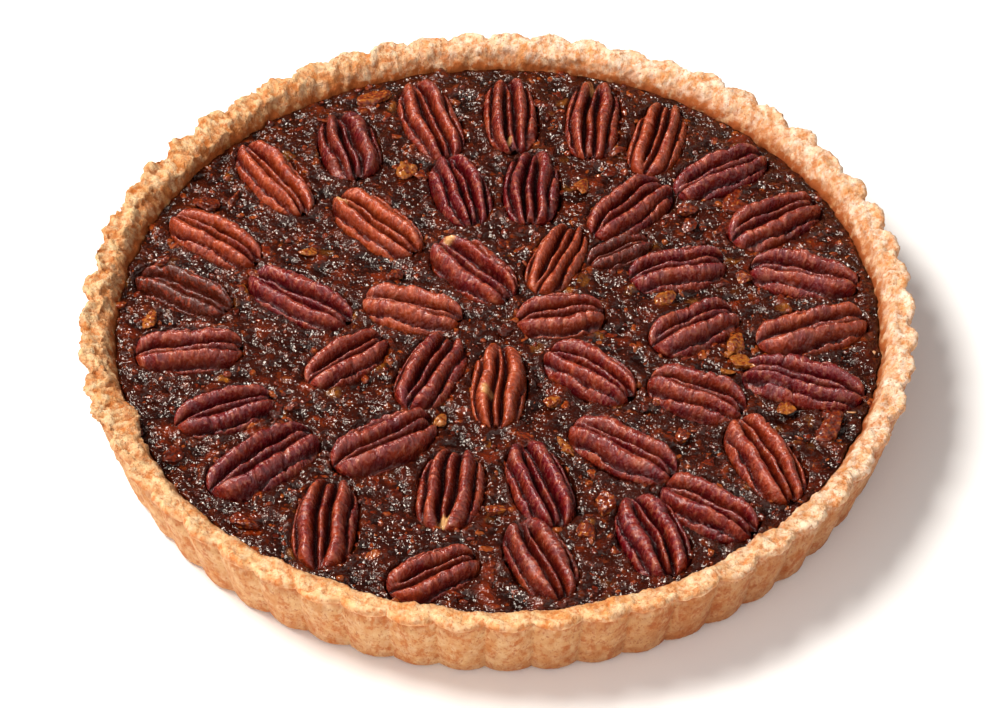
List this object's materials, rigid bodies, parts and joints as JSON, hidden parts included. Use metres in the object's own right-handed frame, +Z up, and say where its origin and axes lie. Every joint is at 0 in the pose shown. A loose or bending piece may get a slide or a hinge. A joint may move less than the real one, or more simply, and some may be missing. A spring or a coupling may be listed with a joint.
{
  "type": "pecan pie",
  "caption": "Whole round pecan pie: a fluted shortcrust case filled with baked custard and chopped nuts, topped with rings of pecan halves.",
  "frame": {"origin": "middle of the pie's flat underside", "axes": "+Z up; +Y points away from the viewer of the picture, and +X to the viewer's right"},
  "size_m": [0.2791, 0.2795, 0.0326],
  "materials": {
    "pastry": "matte, crumbly, golden brown baked shortcrust",
    "custard": "glossy, dark brown baked sugar custard with chopped nuts",
    "pecan": "satin, toasted red-brown nut skin"
  },
  "bodies": {
    "root": {"crust": "pastry", "filling": "custard", "pecan_01": "pecan", "pecan_02": "pecan", "pecan_03": "pecan", "pecan_04": "pecan", "pecan_05": "pecan", "pecan_06": "pecan", "pecan_07": "pecan", "pecan_08": "pecan", "pecan_09": "pecan", "pecan_10": "pecan", "pecan_11": "pecan", "pecan_12": "pecan", "pecan_13": "pecan", "pecan_14": "pecan", "pecan_15": "pecan", "pecan_16": "pecan", "pecan_17": "pecan", "pecan_18": "pecan", "pecan_19": "pecan", "pecan_20": "pecan", "pecan_21": "pecan", "pecan_22": "pecan", "pecan_23": "pecan", "pecan_24": "pecan", "pecan_25": "pecan", "pecan_26": "pecan", "pecan_27": "pecan", "pecan_28": "pecan", "pecan_29": "pecan", "pecan_30": "pecan", "pecan_31": "pecan", "pecan_32": "pecan", "pecan_33": "pecan", "pecan_34": "pecan", "pecan_35": "pecan", "pecan_36": "pecan", "pecan_37": "pecan", "pecan_38": "pecan", "pecan_39": "pecan", "pecan_40": "pecan", "pecan_41": "pecan", "pecan_42": "pecan", "pecan_43": "pecan"}
  },
  "joints": []
}
